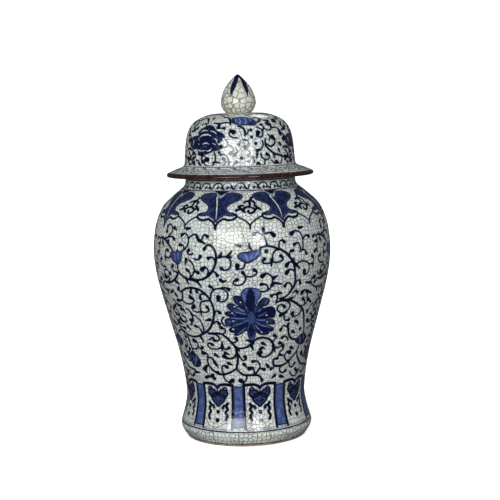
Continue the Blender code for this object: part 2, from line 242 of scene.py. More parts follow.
def between(curve, high, low):
    """The part of a falling curve between two heights, cut exactly at both."""
    ends = [[np.interp(-z, -curve[:, 1], curve[:, 0]), z] for z in (high, low)]
    inner = curve[(curve[:, 1] < high - 1e-6) & (curve[:, 1] > low + 1e-6)]
    return np.vstack([ends[:1], inner, ends[1:]])


def inset(curve, wall):
    """The outline moved inwards by the wall's thickness."""
    g = np.gradient(curve, axis=0)
    g /= np.hypot(g[:, 0], g[:, 1])[:, None]
    return np.column_stack([curve[:, 0] + wall * g[:, 1], curve[:, 1] - wall * g[:, 0]])


class Chart:
    """The painted rows of one piece: radius and s at each row, and what is painted at each vertex, in mm."""

    def __init__(self, radii, s, columns):
        self.r = np.asarray(radii, float)
        self.s = np.asarray(s, float)
        self.n = columns
        self.deg = 360.0 / columns
        shape = (len(self.r), columns)
        self.ink = np.full(shape, NO_PAINT)
        self.wash = np.full(shape, NO_PAINT)
        self.tone = np.full(shape, 0.5)
        self.iron = np.full(shape, NO_PAINT)
        self.bare = np.full(shape, NO_PAINT)

    def radius_at(self, s):
        return float(np.interp(s, self.s, self.r))

    def window(self, points, reach):
        """Rows and columns near some chart points, or None if this piece has none of them."""
        low, high = points[:, 1].min() - reach, points[:, 1].max() + reach
        rows = np.nonzero((self.s >= low) & (self.s <= high))[0]
        if not len(rows):
            return None
        spread = math.degrees(reach / max(self.r[rows].min(), 4.0))
        first = math.floor((points[:, 0].min() - spread) / self.deg)
        last = math.ceil((points[:, 0].max() + spread) / self.deg)
        last = min(last, first + self.n - 1)
        return rows, np.arange(first, last + 1)

    def nearest(self, points, halves, rows, cols):
        """How far inside the stroke each vertex in the window lies, in mm."""
        x = np.radians(cols * self.deg)[None, :, None]
        r = self.r[rows][:, None, None]
        s = self.s[rows][:, None, None]
        a, b = np.radians(points[:-1, 0]), np.radians(points[1:, 0])
        sa, sb = points[:-1, 1], points[1:, 1]
        ex, es = (b - a) * r, (sb - sa)[None, None, :]
        px, ps = (x - a) * r, s - sa
        t = np.clip((px * ex + ps * es) / np.maximum(ex**2 + es**2, 1e-9), 0.0, 1.0)
        gap = np.hypot(px - t * ex, ps - t * es)
        return (halves[:-1] + t * np.diff(halves) - gap).max(axis=2)

    def put(self, layer, value, rows, cols):
        """Adds paint to a layer, or keeps all paint off where the layer is "reserve"."""
        at = np.ix_(rows, cols % self.n)
        if layer == "reserve":
            self.ink[at] = np.minimum(self.ink[at], -value)
            self.wash[at] = np.minimum(self.wash[at], -value)
        else:
            field = getattr(self, layer)
            field[at] = np.maximum(field[at], value)

    def stroke(self, points, halves, layer="ink"):
        """A line of paint. halves is the half width in mm at each given point, or one number."""
        given = np.array(points, float)
        along = np.hypot(np.diff(given[:, 0]) * 1.7, np.diff(given[:, 1]))
        per_span = max(2, int(math.ceil(along.max() / 1.6))) if len(given) > 2 else 1
        curve = smooth_curve(given, per_span)
        halves = np.broadcast_to(np.asarray(halves, float), (len(given),))
        widths = np.interp(np.linspace(0, len(given) - 1, len(curve)), np.arange(len(given)), halves)
        for first in range(0, len(curve) - 1, PART):
            part = curve[first:first + PART + 1]
            found = self.window(part, widths.max() + HALO)
            if found:
                self.put(layer, self.nearest(part, widths[first:first + PART + 1], *found), *found)

    def light(self, points, halves, tone):
        """Thins the blue of a fill along a line."""
        curve = smooth_curve(points, 4)
        widths = np.interp(np.linspace(0, 1, len(curve)), np.linspace(0, 1, len(points)), halves)
        found = self.window(curve, HALO)
        if found:
            value = self.nearest(curve, widths, *found)
            at = np.ix_(found[0], found[1] % self.n)
            share = np.clip(value / 0.9 + 0.5, 0.0, 1.0)
            self.tone[at] += (tone - self.tone[at]) * share

    def dot(self, deg, s, radius, layer="ink"):
        self.stroke([(deg - 0.15, s), (deg + 0.15, s)], radius, layer)

    def shape(self, points, tone, layer="wash", smooth=4):
        """A filled shape with a soft outline. tone is how dark its blue is, 0 to 1."""
        ring = list(points) + [points[0]]
        if smooth > 1:
            p = np.array([points[-1]] + ring + [points[1]], float)
            curve = smooth_curve(p, smooth)[smooth:-smooth]
        else:
            curve = np.array(ring, float)
        found = self.window(curve, HALO)
        if not found:
            return
        rows, cols = found
        value = self.nearest(curve, np.zeros(len(curve)), rows, cols)
        x = (cols * self.deg)[None, :]
        y = self.s[rows][:, None]
        inside = np.zeros((len(rows), len(cols)), bool)
        for (ax, ay), (bx, by) in zip(curve[:-1], curve[1:]):
            if ay != by:
                crosses = (ay > y) != (by > y)
                inside ^= crosses & (x < (bx - ax) * (y - ay) / (by - ay) + ax)
        value = np.where(inside, -value, value)
        at = np.ix_(rows, cols % self.n)
        self.tone[at] = np.where(value > -0.9, tone, self.tone[at])
        self.put(layer, value, rows, cols)


def strokes(text, turn=0.0, down=0.0):
    """Reads stroke text: yields (points, end) with end "", "o" or "O"."""
    for piece in text.split(";"):
        words = piece.split()
        if not words:
            continue
        end = words.pop() if words[-1] in "oO" else ""
        yield shifted(outline(" ".join(words)), turn, down), end


def fills(text, turn=0.0):
    """Reads fill text: yields (tone, outline) of each shape."""
    for piece in text.split(";"):
        tone, *words = piece.split()
        yield float(tone), shifted(outline(" ".join(words)), turn)


def outline(text):
    return [tuple(float(v) for v in word.split(",")) for word in text.split()]


def shifted(points, deg, s=0.0, mirror=1.0):
    return [(deg + mirror * x, y + s) for x, y in points]


def taper(count, thick, start, end):
    """Half widths along a stroke, from start through thick to end as shares of thick."""
    t = np.linspace(0.0, 1.0, count)
    return thick * np.interp(t, [0.0, 0.3, 0.7, 1.0], [start, 1.0, 1.0, end])


def comma_head(chart, points, radius):
    """The round head of a comma stroke, drawn out a little along the way the brush came."""
    (deg, s), (from_deg, from_s) = points[-1], points[-2]
    across = math.radians(from_deg - deg) * max(chart.radius_at(s), 5.0)
    length = max(math.hypot(across, from_s - s), 0.01)
    back = radius * 1.15 / length
    tail = (deg + (from_deg - deg) * back, s + (from_s - s) * back)
    on = (deg - (from_deg - deg) * back * 0.15, s - (from_s - s) * back * 0.15)
    chart.stroke([tail, on], [radius * 0.62, radius])


def paint_stroke(chart, points, dot, half, start=0.9, end=0.8):
    chart.stroke(points, taper(len(points), half, start, end))
    if dot:
        comma_head(chart, points, BIG_DOT if dot == "O" else SMALL_DOT)


def paint_strokes(chart, text, half, turn, start=0.9, end=0.8):
    for points, dot in strokes(text, turn):
        paint_stroke(chart, points, dot, half, start, end)


def paint_dots(chart, text, radius, turn, layer="ink"):
    for deg, s in outline(text):
        chart.dot(deg + turn, s, radius, layer)


def paint_lines(chart, text, deg, lead=0.0, sides=(1.0,), layer="ink"):
    """Draws a motif: each stroke's points, a bar, and its half width or one half width for each point."""
    for piece in text.split(";"):
        path, halves = piece.split("|")
        widths = [float(half) for half in halves.split()]
        for side in sides:
            chart.stroke(shifted(outline(path), deg, lead, side), widths, layer)


def paint_ring(chart, s, half):
    chart.stroke([(deg, s) for deg in range(0, 361, 6)], half)


def lighten(chart, text, half, tone, turn):
    for points, _ in strokes(text, turn):
        chart.light(points, np.full(len(points), half), tone)


def paint_leaf(chart, points, half):
    shares = np.interp(np.linspace(0, 1, len(points)), [0, 0.5, 1], [1.05, 0.85, 0.45])
    chart.stroke(points, half * shares)


def paint_leaves(chart, text, half, turn):
    for points, _ in strokes(text, turn):
        paint_leaf(chart, points, half)


# Strokes that fill the strip between two repeats of the belly painting.
SIDE_CURLS = """
60,104 62.5,101 65,103 65.5,108 63,111 60.5,109 O; 66,112 62,117 57,117.5 54.5,121 o; 56,108 58,112
62,113; 64,151 66.5,157 66,164 63,168; 57,163 60.5,166 61,172 58,175 55.5,172 O; 61,172 65,176 69,177 o;
58,184 62,181 66,183 67,189 o; 62,196 65.5,193 68,196 o; 60,207 63,211 63,217 59.5,219.5 57,216 O; 63,211
66.5,209 68,205 o; 62,222 66,222 68.5,218 o; 44,238 47,243 52,244.5 54.5,241 o; 59,240 63,243 66,240 o;
-57,140 -54,143 -55,148 -58,150 o; -50,160 -47,162 -47,167 -50,169 -52.5,166 O; -44,150 -41,152 -40,156 o;
-57,193 -54,196 -54,201 -57,203 o; -43,171 -41,168.5 -42,165 o; -41,199 -38,203 -36.5,201 o; 30,208 33,205
32.5,201 o; 58,150 55,153 54,158; -28,189 -26,186.5 -24,186; -14,158 -16,162 -15,168 -12.5,170
"""
SIDE_LEAVES = """
66,128 62,132; 59,68 61,72; -56,170 -53,172; -52,146 -48,147; -39,230 -36,234; 33,241 37,243; 27,239
24,242; 20,226 18,222; 30,212 34,214; -1,221 1,225; -14,220 -11,222; -25,209 -22,212; -26,221 -24,226;
-16,206 -13,208; 14,194 17,197
"""
# The lotus on the belly: its petals, then its lilac veins and white dots.
PETALS = """
0.35 -1,124 1,120.5 4,119.5 7.5,120.5 10.5,123 12,128 11,134 9,141 7,149 5,152 3,149 0.5,141 -1.5,134
-2,128;
0.85 -7,132 -5,129.5 -2.5,130 -1,133 0,138 1.5,145 3,152 0,149.5 -3,144 -6,139;
0.75 -11.5,142 -9,139 -6,140.5 -4,144 0,150 3,155 -2,153 -7,151 -10.5,147.5;
0.95 -13.5,152.5 -10.5,149.5 -5,152 0,155 3,158 -3,158.8 -9,158 -12.5,156;
0.8 -13.5,168 -13.8,161 -10,158.5 -4,160 3,160.5 -2,165 -7,168.5 -10,171;
0.9 -11.5,174 -8,169.5 -2,166 4,163 0,170 -3,176 -7,179 -10.5,178;
0.95 -8,181 -5,176.5 -1,171 4,165 2.5,172 0,178 -4,182.5 -7,183;
0.9 7,165 11,171 16,176 19.5,181 16,183.5 11,182 8,176;
0.9 6,162 13,167 19,171 22.5,175 21.5,179.5 18,179 13,174.5 9,169.5;
0.8 6,160 14,161 20,162 22.7,165 23,170 19,170.3 13,166.5 8,162;
1 6,157 11,150 15,146.5 19.5,145.3 22.3,150 23,156 21.5,161.3 15,160.5 9,160;
0.8 6,154 8.5,145 10,139 12.5,134 15,133.5 17.8,137 17.2,142 14,146 10,150.5;
0.5 2,180 3,173 5,164 7.5,173 8.8,180 8,187 5.5,190.5 3.3,187;
0.95 3.8,123 5,122 6.5,128 7.3,136 7,144 5.5,150 3.5,150 2,144 1.8,136 2.6,128;
0.95 4,172 5.3,168 6.6,174 6.8,181 5.4,184 4,180;
0.6 3,157 5.3,153.5 7.5,157 7.8,161 6.5,165.5 4,166.5 2.6,162
"""
LOTUS_HEART = "-9,150 -4,143 0,146 5,148 10,143 16,150 17,160 16,170 12,177 5,176 -3,178 -9,172 -10,160"
VEINS = """
-0.8,133 0.2,140 1.8,146 3,150; 9.3,134 8.6,141 7.6,148; -5.8,142 -3.5,146 0,150.5; -7,150.5 -3,152.5
1,154.7; -9.5,158.6 -4,159.8 1,159.8; -8.5,170 -4,167.5 0,165 2,163; -5,181 -2,177 1.5,172; 9,162 13,163.2
18.5,163.5; 7.7,164.5 11,168 14,170.7 20.5,173.5; 8,168.5 10,173.5 12.5,177.5; 12.5,148 10.3,151.5;
15.5,153 13,156 10,157.5; -10.5,153 -6,155; -11,164 -6,163.5; 15.8,137.5 14.5,142
"""
VEIN_DOTS = "-2,138.5 -6,144 -8,152.5 -7.5,163 10,137 14,146 16,157 16.8,166 -8,174 13,179"
BUDS = """
0.42 -3,81 -1,77.5 4,76.5 9,74.5 11.8,73.6 11.5,79 9,84 5.5,88 3,89.5 0.5,87.5 -2,84.5;
0.55 -51,79.5 -49,75.5 -46.5,77.5 -44.5,74.5 -42,77 -39.8,79 -40.6,84 -41.6,90 -44,92.5 -47.5,90.5 -50,86;
0.85 -56.5,213 -52,209.5 -48,205 -46.5,209 -42,216 -41,222 -43,227.5 -48,229.5 -52,228 -55,222 -57,218;
0.85 44,196 47,192 50,189.5 53.5,187 57,190 60.5,195 59,201 55,204.5 50,203 46,199.5
"""
BUD_LINES = """
-3,81 -2,84.5 0.5,87.5 3,89.5 5.5,88 9,84 11.5,79; -51,80 -50,86 -47.5,90 -44,92.5 -41.4,88 -40.2,80;
-3,81 -1,77.6 4,76.6 9,74.6 11.6,74
"""
BUD_VEINS = """
1.5,79 3,83 3.2,87; 7,77 6,81 4.5,85.5; 9.5,77 7,84; -50,215 -48,221 -49,226; -45.5,213 -46,220; 50,193
51.5,198 51,202; 54.5,191 55.5,196; -47,80 -45.8,88; -43.6,79 -44,86; -54,216 -52,221
"""

# Motifs, each round 0 degrees. A bar stands before a stroke's half widths.
NECK_ARCHES = 30
NECK_ARCH = """
-5.6,15.5 -4.6,11 -1.5,8.2 2.4,8.6 4.2,12 2.6,15 | 0.8; -0.4,14.6 0.8,13.2 0.4,12 | 1.5 1.1 0.6;
4.2,12 5.4,15.2 7.2,16.2 | 0.9 1.5 0.7
"""
FOOT_PANELS, FOOT_FIRST = 9, -47.0
FOOT_STRIPE = "-4.6,9 4.6,9 4.9,35 5,62 -5,62 -4.9,35"
FOOT_STRIPE_EDGE = "5.3,8 5.5,35 5.8,63 | 1.55"
FOOT_SCROLLS = """
15,8.2 9,7.2 3.5,8.2 0,11.6 | 1.9 2 1.8 1.9; 9.4,16.5 9.2,13 7.6,11.2 5.6,12.4 5.6,14.4 | 1.05;
9.5,32 7.8,35 9.6,39 7.6,43 9.4,47 8.2,52 | 1.87 1.757 1.7 1.7 1.7 1.7; 8.8,35 5.8,34.4 4.6,37.4 | 1 1.2 2
"""
SIDE_PETAL = "-9.8,17 -9.2,21.5 -6.2,24.4 -2.6,23 -1.2,19.4 -3,15.6 -7,14.4"
LOW_PETAL = "-7,22.6 -5.8,28.6 -2.6,32.6 0,35.4 2.6,32.6 5.8,28.6 7,22.6 0,18.6"
TOP_PETAL = "-6.5,15 0,12.4 6.5,15 3,19 0,17.4 -3,19"
FOOT_STAMENS = "-5,19 -4,23 | 0.8 0.35; 0,19 0,27 | 0.8 0.35; 5,19 4,23 | 0.8 0.35"
CLAY_TOP, IRON_TOP = 3.0, 4.4   # how high the foot's bare clay and its brown line reach, mm

# One ruyi head on the shoulder, centred on 0 degrees, with s measured down the neck: its right half.
RUYI_HEADS, RUYI_FIRST = 8, -17.0       # how many, and where the first is, in degrees
RUYI_HALF = """
0,31 2,27.5 4,24.3 7,22.4 10.5,22.2 14.5,23.6 17.4,26 18.2,29.5 16.8,33.4 13.8,37 10.3,40.2 7.6,44.2 6.7,49
8,53 11,55.4 13,57.2 11.3,58.2 8.6,58.2 6,57.2 3.8,59.4 1.6,62.4 0,66
"""
RUYI_EDGE = "10.6,54.6 13.4,57 13.6,60.4 11.2,63 8,63.6 5.4,62 2.8,64.8 0.8,69 0.2,75"
RUYI_WHITES = """
-3,29.6 -1.6,38 -0.6,46 0,55 0,62 | 0.85 0.85 0.75 0.6 0.35; -4,24.6 -2.2,28 0,31 1.8,28 3.2,24.8 | 0.5
"""
RUYI_PEAK = "0,27.6 -3.8,22.6 -7,20 7,20 3.6,22.6"
CRESCENTS = "5.8,59.6 8.4,61 11.2,60.3 | 0.6 1.25 0.7; 0.6,67.5 2.2,64 4.4,60.6 | 0.6 1.25 0.7"
BRACKET = "-9,59 -5.5,62 -2.2,66 -0.4,70 0,75 | 1"
CARTOUCHE = """
3,31.5 2.5,34 0.5,36.5 -1.5,37.6 -3,39; 3.5,37.5 4.6,38.6 4.9,41.6; 1,38 1,43.5 0,47; -3,48 -0.5,46.2
2.5,48 4.7,50.2; -6.5,45.4 -5.4,44 -4.2,44.4; -7,46.5 -5.4,49 -3.4,49.6; -9,51.2 -6.4,50 -3.4,49.4;
-4.4,51.4 -3.2,53.6; 4.5,50 3,54 0.6,55.6 -0.6,53.8 -0.4,52; 4.6,44.8 6,47.4 5.2,50; 7,48.6 8,51
"""


def plan_belly():
    """The belly's strokes on all three thirds, without those that would tangle where two thirds meet."""
    half_degrees, depth, brush = 720, 280, (-2, -1, 0, 1, 2)
    owner = np.zeros((half_degrees, depth), int)
    plan = []
    for kind, text, shared, alone in (("stem", STEMS, 2.0, False), ("curl", CURLS, 0.28, False),
                                      ("leaf", LEAVES, 0.28, False), ("curl", SIDE_CURLS, 0.50, True),
                                      ("leaf", SIDE_LEAVES, 0.20, True)):
        for own, turn in enumerate(FRONT_FIRST, 1):
            for points, end in strokes(text, turn):
                curve = smooth_curve(points, 12)
                across = np.floor(curve[:, 0] * 2.0).astype(int) % half_degrees
                down = np.clip(curve[:, 1], 2, depth - 3).astype(int)
                met = owner[across, down]
                if np.mean((met > 0) & ((met != own) | alone)) > shared:
                    continue
                plan.append((kind, points, end))
                for i in brush:
                    for j in brush:
                        owner[(across + i) % half_degrees, down + j] = own
    return plan


def paint_belly(chart, plan):
    for turn in THIRDS:
        for tone, points in fills(BUDS, turn):
            chart.shape(points, tone)
        paint_strokes(chart, BUD_LINES, 0.8, turn)
        lighten(chart, BUD_VEINS, 0.7, 0.05, turn)
    for kind, points, end in plan:
        if kind == "leaf":
            paint_leaf(chart, points, LEAF_HALF)
        elif kind == "stem":
            paint_stroke(chart, points, end, STEM_HALF, 0.8, 0.75)
        else:
            paint_stroke(chart, points, end, CURL_HALF, 1.15, 0.9)
    for turn in THIRDS:
        paint_dots(chart, DOTS, 2.5, turn)
        paint_lotus(chart, turn)


def paint_lotus(chart, turn):
    chart.shape(shifted(outline(LOTUS_HEART), turn), 0.9)
    for tone, points in fills(PETALS, turn):
        chart.shape(points, tone)
    for points, _ in strokes(VEINS, turn):
        chart.light(points, taper(len(points), 0.75, 0.6, 0.8), 0.12)
    paint_dots(chart, VEIN_DOTS, 0.9, turn, "reserve")


def paint_shoulder(chart):
    half, edge = outline(RUYI_HALF), outline(RUYI_EDGE)
    for k in range(RUYI_HEADS):
        deg = RUYI_FIRST + k * 360.0 / RUYI_HEADS
        middle = deg + 180.0 / RUYI_HEADS
        whole = shifted(half, deg, -NECK_LEAD) + shifted(half[-2:0:-1], deg, -NECK_LEAD, -1.0)
        chart.shape(whole, 0.80, smooth=3)
        chart.stroke(whole + whole[:1], 0.75)
        paint_lines(chart, RUYI_WHITES, deg, -NECK_LEAD, layer="reserve")
        chart.shape(shifted(outline(RUYI_PEAK), deg, -NECK_LEAD), 0.9, "ink", smooth=1)
        for side in (1.0, -1.0):
            paint_lines(chart, CRESCENTS, deg, -NECK_LEAD, (side,), "reserve")
            chart.stroke(shifted(edge, deg, -NECK_LEAD, side), taper(len(edge), 1.45, 0.7, 0.8))
            paint_lines(chart, BRACKET, middle, -NECK_LEAD, (side,))
        for points, _ in strokes(CARTOUCHE, middle, -NECK_LEAD):
            chart.stroke(points, taper(len(points), 1.45, 1.3, 1.1))
    # A dark ink ring just below the neck, with the neck's lowest ring: painted shade in the crease where the
    # neck meets the shoulder.
    paint_ring(chart, 19.0 - NECK_LEAD, 0.7)


def paint_neck(chart):
    for k in range(NECK_ARCHES):
        wander = (0.0, 1.3, -0.8)[k % 3]
        paint_lines(chart, NECK_ARCH, k * 360.0 / NECK_ARCHES + wander, -NECK_LEAD)
    # The neck's lowest ring, with the shoulder's ring below it: painted shade in the crease at the neck's
    # foot.
    paint_ring(chart, 17.8 - NECK_LEAD, 0.45)
    paint_ring(chart, 5.2 - NECK_LEAD, 0.6)


def paint_foot(chart):
    for k in range(FOOT_PANELS):
        deg = FOOT_FIRST + k * 360.0 / FOOT_PANELS
        middle = deg + 180.0 / FOOT_PANELS
        chart.shape(shifted(outline(FOOT_STRIPE), deg, FOOT_LEAD), 0.36, smooth=1)
        paint_lines(chart, FOOT_STRIPE_EDGE, deg, FOOT_LEAD, (1.0, -1.0))
        paint_lines(chart, FOOT_SCROLLS, middle, FOOT_LEAD, (1.0, -1.0))
        for text, side in ((SIDE_PETAL, 1.0), (SIDE_PETAL, -1.0), (LOW_PETAL, 1.0)):
            ring = shifted(outline(text), middle, FOOT_LEAD, side)
            chart.shape(ring, 0.78, smooth=3)
            chart.stroke(ring + ring[:2], 1.2)
        chart.shape(shifted(outline(TOP_PETAL), middle, FOOT_LEAD), 1.0, smooth=2)
        paint_lines(chart, FOOT_STAMENS, middle, FOOT_LEAD)
        paint_dots(chart, f"-1.5,{14.6 + FOOT_LEAD} 1.5,{14.6 + FOOT_LEAD}", 1.0, middle, "reserve")
        chart.dot(middle, 42.5 + FOOT_LEAD, 2.4)
        chart.dot(middle, 53.0 + FOOT_LEAD, 2.7)
    paint_ring(chart, 64.0 + FOOT_LEAD, 0.3)
    paint_ring(chart, 66.6 + FOOT_LEAD, 0.75)


def paint_foot_rim(chart, z):
    """Bare clay at the foot, and an iron-brown line above it where the glaze ran thin."""
    chart.bare = np.maximum(chart.bare, np.clip(CLAY_TOP - z, NO_PAINT, 9.0)[:, None])
    chart.iron = np.maximum(chart.iron, np.clip(IRON_TOP - z, NO_PAINT, 0.5)[:, None])


PEONY = """
1 -50,58 -49,53 -45,49.5 -39,46.2 -34,46 -29,49 -25,53.6 -18,57 -15,61 -15,63.5 -18,63 -22,60.5 -27,59.8
-33,59 -42,59;
0.85 -30,61 -25,59 -19,61.5 -17.5,65 -20,69 -25,69.5 -29,66;
0.85 -31,67 -26,68.5 -21,72 -19.5,77 -25,79.3 -31,77;
0.95 -65,68 -62,63.5 -56,60.5 -50,60 -46,62 -44.5,67 -46,72 -49,75 -52,77.2 -57,77.2 -62,73.5;
1 -45,64 -40,61.6 -34,61.6 -30.5,64 -31,68 -38,69 -42,71.5 -46,73 -47,67;
0.95 -50,75 -44,72 -38,74.5 -31,73 -27,76 -29,80.4 -34,82.6 -39,83.8 -44,82.2 -49,78.6
"""
PEONY_HEART = "-62,66 -52,61 -46,56 -36,50 -26,57 -20,63 -23,70 -29,76 -38,79 -48,76 -58,74"
PEONY_VEINS = """
-36,51 -35,57; -42,52 -41,57; -24,60.5 -23,64; -62,66 -61,71; -53,62 -52,67; -25,72 -23,76; -44,75 -43,79;
-36,76 -35,79; -29,64 -24,67; -41,73.3 -36,73.4
"""
PEONY_WHITES = """
-46.5,62 -43,59.8 -36,58.9 -31,60.6; -42,70.6 -37,69.4 -33,70.6; -29,69.5 -25,71.5; -48,63 -47.4,66;
-47.6,70 -46.4,71.4; -57.5,65 -56.2,68 -57.2,71.5; -47,55.5 -42,53.4 -37,54.2; -33,54 -28,55.6 -25,58;
-27,63.5 -24,66 -24.5,69; -48,77.4 -43,79 -38,78.2; -36,79 -32,78.4 -29.5,75.6
"""
SIDE_BLOOM = """
0.5 -10,42 -9,34 -4,30.5 4,30 12,31.5 18,35 21,41 20,47 14,48.6 6,47.5 0,48 -6,45;
0.75 -11,43 -10,35 -6,31 -4,36 -5,42;
0.75 12,42 16,40 20,42 20.5,47.5 14,48
"""
BLOOM_VEINS = "0,33 2,40 1,46; 8,33 9,40 7,46; -5,33 -4,40; 14,35 15,41"
CROWN_SCROLLS, CROWN_FIRST = 9, 8.0
CROWN = """
-16,24 -8,20.5 0,19.5 10,21.5 15,25.5 | 0.7 1.1 1.2 1 0.7; 0,19.5 6,14.5 16,13.5 18,17 | 1 0.9 0.9 1.5;
-6,20.5 -12,16 -18,16.5 | 0.9 0.9 1.6; 4,25 9,27.5 | 1.6 0.7
"""


def paint_crown(chart):
    """Small scrolls between the finial and the flowers."""
    for k in range(CROWN_SCROLLS):
        deg = CROWN_FIRST + k * 360.0 / CROWN_SCROLLS
        paint_lines(chart, CROWN, deg)
        chart.dot(deg - 4.0, 9.5, 1.3)
    paint_ring(chart, 3.0, 0.5)
    paint_ring(chart, 5.2, 0.4)


def paint_dome(chart):
    paint_crown(chart)
    for turn in THIRDS:
        chart.shape(shifted(outline(PEONY_HEART), turn), 0.95)
        for tone, points in (*fills(PEONY, turn), *fills(SIDE_BLOOM, turn)):
            chart.shape(points, tone)
        lighten(chart, PEONY_VEINS, 0.45, 0.25, turn)
        for points, _ in strokes(PEONY_WHITES, turn):
            chart.stroke(points, taper(len(points), 0.8, 0.4, 0.4), "reserve")
        lighten(chart, BLOOM_VEINS, 0.8, 0.05, turn)
        paint_strokes(chart, DOME_STEMS, 1.35, turn)
        paint_strokes(chart, DOME_CURLS, 1.0, turn, 1.1, 1.0)
        paint_strokes(chart, DOME_SIDE, 0.9, turn, 1.1, 1.0)
        paint_leaves(chart, DOME_LEAVES, 1.8, turn)
        paint_dots(chart, DOME_DOTS, 2.0, turn)


SEPAL = "-18,5 -17,12 -15.5,20 -13.5,26 -10,31 -6.5,37 -1,32 5.5,27 11,22 16.5,17.5 22,13 26,9 30,5"
SEPALS, SEPAL_FIRST = 6, -20.0
BRIM_SCROLLS = 24
BRIM_SCROLL = """
-5,9 -2,6.4 2,6.8 4,10 2,12 | 0.45; 4,10 7,13.6 10,12.4 | 0.5 0.75 0.4; -1,15.6 2,14.4 4,16 | 0.5 0.9 0.5;
-3,12.6 -1,11 1,9.2 | 0.4 0.8 0.4; 6,5 9,4.2 11,6.4 8,8.6 | 0.4 0.7 0.8 0.4
"""
LIP_RADIUS = 88.7       # where the brim's iron-brown edge begins, mm


def paint_finial(chart):
    for k in range(SEPALS):
        chart.shape(shifted(outline(SEPAL), SEPAL_FIRST + k * 360.0 / SEPALS), 1.0, smooth=3)
    cap = np.clip(8.2 - chart.s, NO_PAINT, 3.0)[:, None] + 0 * chart.wash
    chart.tone = np.where(cap > -0.5, 1.0, chart.tone)
    chart.wash = np.maximum(chart.wash, cap)


def paint_brim(chart):
    for k in range(BRIM_SCROLLS):
        paint_lines(chart, BRIM_SCROLL, k * 360.0 / BRIM_SCROLLS)
    paint_ring(chart, 2.2, 0.5)
    paint_ring(chart, 18.2, 0.45)
    lip = np.clip((chart.r - LIP_RADIUS) * 2.2, NO_PAINT, 4.0)
    chart.iron = np.maximum(chart.iron, lip[:, None])


class Piece:
    """Profile rows turned round +Z into one closed mesh. Painted rows come from charts.

    girth is the radius, in mm, at which a crackle cell is as wide as it is tall.
    """

    def __init__(self, name, girth=95.0, columns=COLUMNS, cell=CELL):
        self.name = name
        self.columns = columns
        self.girth = girth
        self.cell = cell
        self.rows = []
        self.charts = []

    def plain(self, points):
        for r, z in points:
            self.rows.append((float(r), float(z)))

    def painted(self, curve, s_first):
        """Adds rows and returns their chart, whose s starts at s_first and grows down the curve."""
        start = len(self.rows)
        self.plain(curve)
        chart = Chart(np.maximum(curve[:, 0], 0.05), s_first + lengths(curve), self.columns)
        self.charts.append((start, chart))
        return chart

    def build(self, surface, closed=True):
        n = self.columns
        rows = np.array(self.rows)
        pole = rows[:, 0] < 1e-6
        counts = np.where(pole, 1, n)
        first = np.concatenate([[0], np.cumsum(counts)[:-1]])
        turn = np.radians(np.arange(n) * 360.0 / n)
        verts = [np.column_stack([r * np.sin(turn[:count]), -r * np.cos(turn[:count]), np.full(count, z)])
                 for (r, z), count in zip(rows, counts)]
        faces = []
        here = list(range(n))
        after = here[1:] + here[:1]
        ups = range(len(rows) if closed else len(rows) - 1)
        for up in ups:
            down = (up + 1) % len(rows)
            a, b = int(first[up]), int(first[down])
            if pole[up]:
                faces += [(a, b + i, b + j) for i, j in zip(here, after)]
            elif pole[down]:
                faces += [(a + i, b, a + j) for i, j in zip(here, after)]
            else:
                faces += [(a + i, b + i, b + j, a + j) for i, j in zip(here, after)]
        mesh = bpy.data.meshes.new(self.name)
        mesh.from_pydata((np.vstack(verts) * MM).tolist(), [], faces)
        mesh.validate()
        for layer in ("ink", "wash", "tone", "iron", "bare"):
            value = np.full(len(mesh.vertices), 0.5 if layer == "tone" else NO_PAINT)
            for start, chart in self.charts:
                for i, row in enumerate(getattr(chart, layer), start):
                    value[first[i]:first[i] + counts[i]] = row[:counts[i]]
            add_attribute(mesh, layer, value)
        self.write_net(mesh, rows, counts)
        mesh.shade_smooth()
        mesh.set_sharp_from_angle(angle=math.radians(42))
        mesh.materials.append(surface)
        obj = bpy.data.objects.new(self.name, mesh)
        bpy.context.scene.collection.objects.link(obj)
        return obj

    def write_net(self, mesh, rows, counts):
        """Where each vertex lies in the crackle's net: across per radian, down the profile, and how level."""
        down = lengths(rows)
        for start, chart in self.charts:
            down[start:start + len(chart.s)] = chart.s
        slope = np.gradient(rows, axis=0)
        level = np.abs(slope[:, 0]) / np.maximum(np.hypot(slope[:, 0], slope[:, 1]), 1e-6)
        level = np.clip((level - 0.80) / 0.12, 0.0, 1.0)
        add_attribute(mesh, "net_down", np.repeat(down / self.cell, counts))
        add_attribute(mesh, "net_level", np.repeat(level, counts))
        add_attribute(mesh, "net_across", np.full(len(mesh.vertices), self.girth / self.cell))


def add_attribute(mesh, name, values):
    made = mesh.attributes.new(name, "FLOAT", "POINT")
    made.data.foreach_set("value", values.astype(np.float32))


